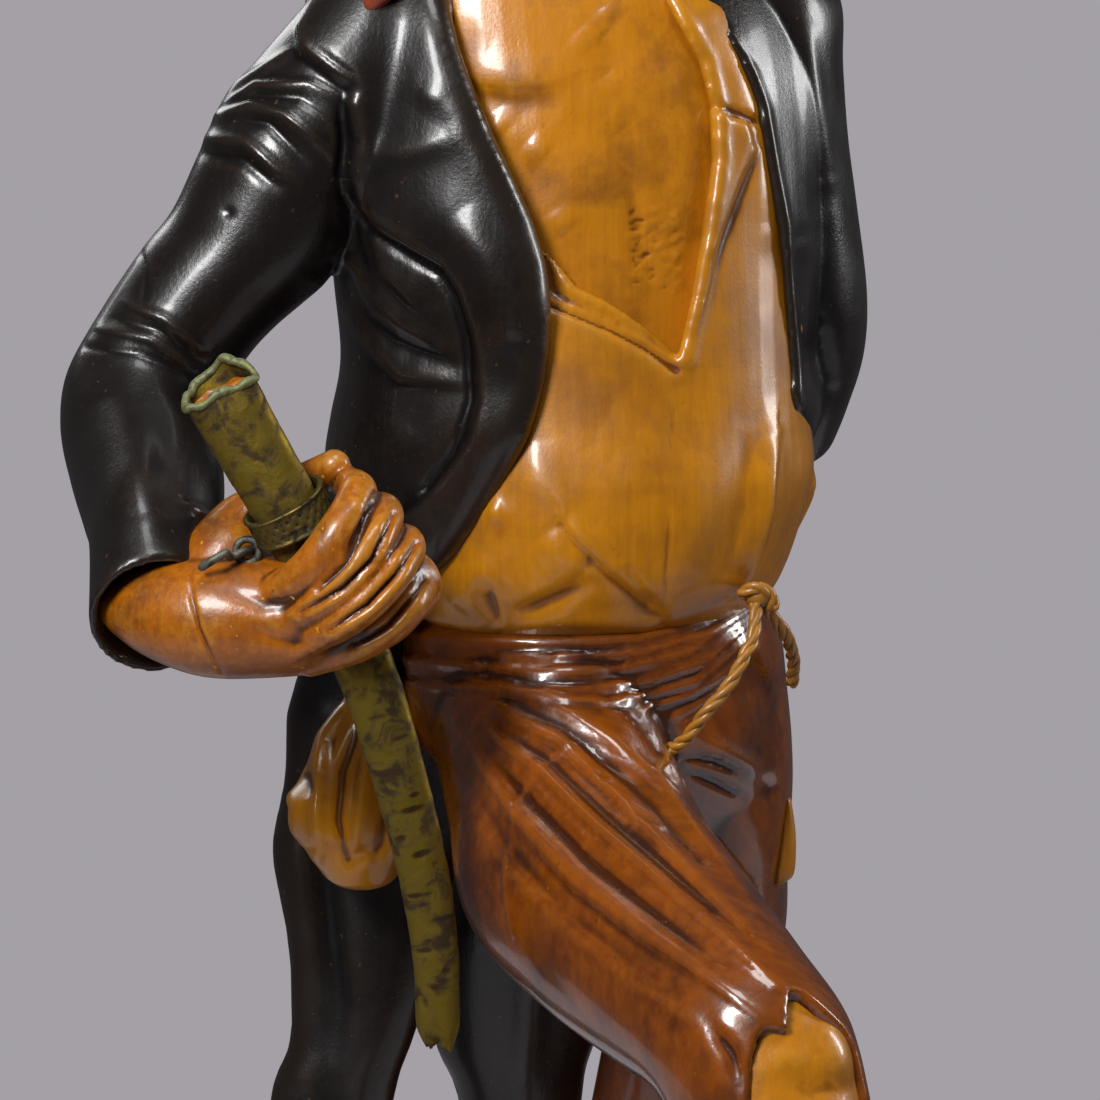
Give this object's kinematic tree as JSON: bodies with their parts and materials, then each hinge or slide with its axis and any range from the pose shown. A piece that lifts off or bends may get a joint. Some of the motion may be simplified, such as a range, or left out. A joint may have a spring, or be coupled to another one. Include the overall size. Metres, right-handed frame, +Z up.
{
  "type": "freedom fighter statue",
  "caption": "Carved and painted wooden figure in an open tailcoat, one foot on a rock and a torn brass scabbard in the fist, on a low wooden base.",
  "frame": {"origin": "under the middle of the whole statue's box, on the surface that it stands on", "axes": "+Z up, the figure's chest faces -Y, its right hand with the scabbard is at -X"},
  "size_m": [0.5354, 0.86, 1.3037],
  "materials": {
    "black_coat": "black paint over carved wood, waxed to a gloss",
    "golden_shirt": "golden stain under a glossy varnish",
    "tinted_skin": "warm skin tint under a glossy varnish",
    "stained_hand": "orange-brown stain under a glossy varnish",
    "brown_trousers": "red-brown stain worn on the ridges, glossy varnish",
    "gilded_rope": "golden tint",
    "red_kerchief": "red-brown paint",
    "dark_hair": "dark brown paint",
    "patinated_brass": "olive and brown patina",
    "dark_brass": "dark punched brass, bright on the upper rim",
    "grey_wire": "dull grey oxide",
    "base_wood": "dark brown stain"
  },
  "bodies": {
    "root": {"figure": "black_coat", "scabbard": "patinated_brass", "scabbard_ring": "dark_brass", "ring_wire": "grey_wire", "base": "base_wood"}
  },
  "joints": []
}
